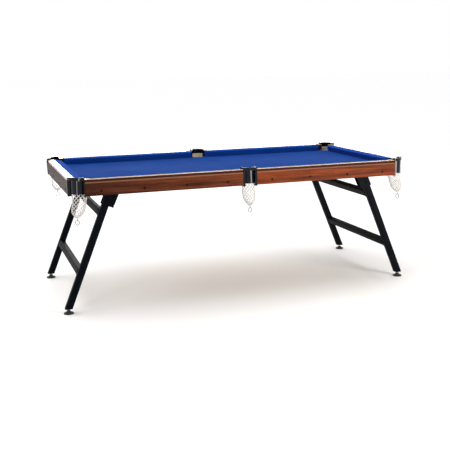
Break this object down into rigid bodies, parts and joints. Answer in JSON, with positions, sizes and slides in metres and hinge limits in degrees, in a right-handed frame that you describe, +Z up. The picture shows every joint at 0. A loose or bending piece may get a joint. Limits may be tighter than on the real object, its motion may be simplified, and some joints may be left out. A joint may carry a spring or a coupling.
{
  "type": "folding pool table",
  "caption": "Folding pool table: blue cloth bed, wood-look rails and aprons, black pocket castings with nets, splayed steel leg frames on levelling feet.",
  "frame": {"origin": "on the floor, under the middle of the table", "axes": "+X along the table to the right, +Y across it to the back, +Z up; the front is the long side towards -Y"},
  "size_m": [2.2384, 1.156, 0.812],
  "materials": {
    "board": "raw fibreboard",
    "cloth": "short-nap blue billiard cloth",
    "rail": "glossy wood-grain laminate with a dark front edge",
    "apron": "satin mahogany-look wood-grain laminate",
    "casting": "glossy black moulded plastic",
    "net": "off-white knotted cord net",
    "steel": "satin black powder coat",
    "knob": "matt black moulded plastic",
    "zinc": "bright zinc-plated steel",
    "rubber": "matt black rubber"
  },
  "bodies": {
    "table": {"bed_board": "board", "bed_cloth": "cloth", "left_leg_beam": "board", "right_leg_beam": "board", "centre_beam": "board", "front_left_apron": "apron", "front_left_rail": "rail", "front_left_cushion": "cloth", "front_right_apron": "apron", "front_right_rail": "rail", "front_right_cushion": "cloth", "back_right_apron": "apron", "back_right_rail": "rail", "back_right_cushion": "cloth", "back_left_apron": "apron", "back_left_rail": "rail", "back_left_cushion": "cloth", "left_apron": "apron", "left_rail": "rail", "left_cushion": "cloth", "right_apron": "apron", "right_rail": "rail", "right_cushion": "cloth", "front_left_pocket_casting": "casting", "front_left_pocket_net": "net", "front_right_pocket_casting": "casting", "front_right_pocket_net": "net", "back_right_pocket_casting": "casting", "back_right_pocket_net": "net", "back_left_pocket_casting": "casting", "back_left_pocket_net": "net", "front_middle_pocket_casting": "casting", "front_middle_pocket_net": "net", "back_middle_pocket_casting": "casting", "back_middle_pocket_net": "net", "left_front_leg_bracket": "steel", "left_back_leg_bracket": "steel", "right_front_leg_bracket": "steel", "right_back_leg_bracket": "steel"},
    "left_leg_frame": {"left_front_leg": "steel", "left_back_leg": "steel", "left_upper_crossbar": "steel", "left_lower_crossbar": "steel", "left_front_foot_stem": "zinc", "left_back_foot_stem": "zinc"},
    "left_front_knob": {"left_front_pivot_knob": "knob"},
    "left_front_foot_pad": {"left_front_foot_pad": "rubber"},
    "left_back_knob": {"left_back_pivot_knob": "knob"},
    "left_back_foot_pad": {"left_back_foot_pad": "rubber"},
    "right_leg_frame": {"right_front_leg": "steel", "right_back_leg": "steel", "right_upper_crossbar": "steel", "right_lower_crossbar": "steel", "right_front_foot_stem": "zinc", "right_back_foot_stem": "zinc"},
    "right_front_knob": {"right_front_pivot_knob": "knob"},
    "right_front_foot_pad": {"right_front_foot_pad": "rubber"},
    "right_back_knob": {"right_back_pivot_knob": "knob"},
    "right_back_foot_pad": {"right_back_foot_pad": "rubber"}
  },
  "joints": [
    {"name": "left_leg_fold", "type": "hinge", "parent": "table", "child": "left_leg_frame", "pos_m": [-0.8364, 0, 0.655], "axis": [0, -1, 0], "range_deg": [0, 110]},
    {"name": "left_front_knob_turn", "type": "hinge", "parent": "table", "child": "left_front_knob", "pos_m": [-0.8364, -0.438, 0.655], "axis": [0, -1, 0], "range_deg": [0, 360]},
    {"name": "left_front_pad_swivel", "type": "hinge", "parent": "left_leg_frame", "child": "left_front_foot_pad", "pos_m": [-1.09015, -0.438, 0], "axis": [0, 0, -1], "continuous": true},
    {"name": "left_back_knob_turn", "type": "hinge", "parent": "table", "child": "left_back_knob", "pos_m": [-0.8364, 0.438, 0.655], "axis": [0, 1, 0], "range_deg": [0, 360]},
    {"name": "left_back_pad_swivel", "type": "hinge", "parent": "left_leg_frame", "child": "left_back_foot_pad", "pos_m": [-1.09015, 0.438, 0], "axis": [0, 0, -1], "continuous": true},
    {"name": "right_leg_fold", "type": "hinge", "parent": "table", "child": "right_leg_frame", "pos_m": [0.8364, 0, 0.655], "axis": [0, 1, 0], "range_deg": [0, 110]},
    {"name": "right_front_knob_turn", "type": "hinge", "parent": "table", "child": "right_front_knob", "pos_m": [0.8364, -0.438, 0.655], "axis": [0, -1, 0], "range_deg": [0, 360]},
    {"name": "right_front_pad_swivel", "type": "hinge", "parent": "right_leg_frame", "child": "right_front_foot_pad", "pos_m": [1.09015, -0.438, 0], "axis": [0, 0, -1], "continuous": true},
    {"name": "right_back_knob_turn", "type": "hinge", "parent": "table", "child": "right_back_knob", "pos_m": [0.8364, 0.438, 0.655], "axis": [0, 1, 0], "range_deg": [0, 360]},
    {"name": "right_back_pad_swivel", "type": "hinge", "parent": "right_leg_frame", "child": "right_back_foot_pad", "pos_m": [1.09015, 0.438, 0], "axis": [0, 0, -1], "continuous": true}
  ]
}
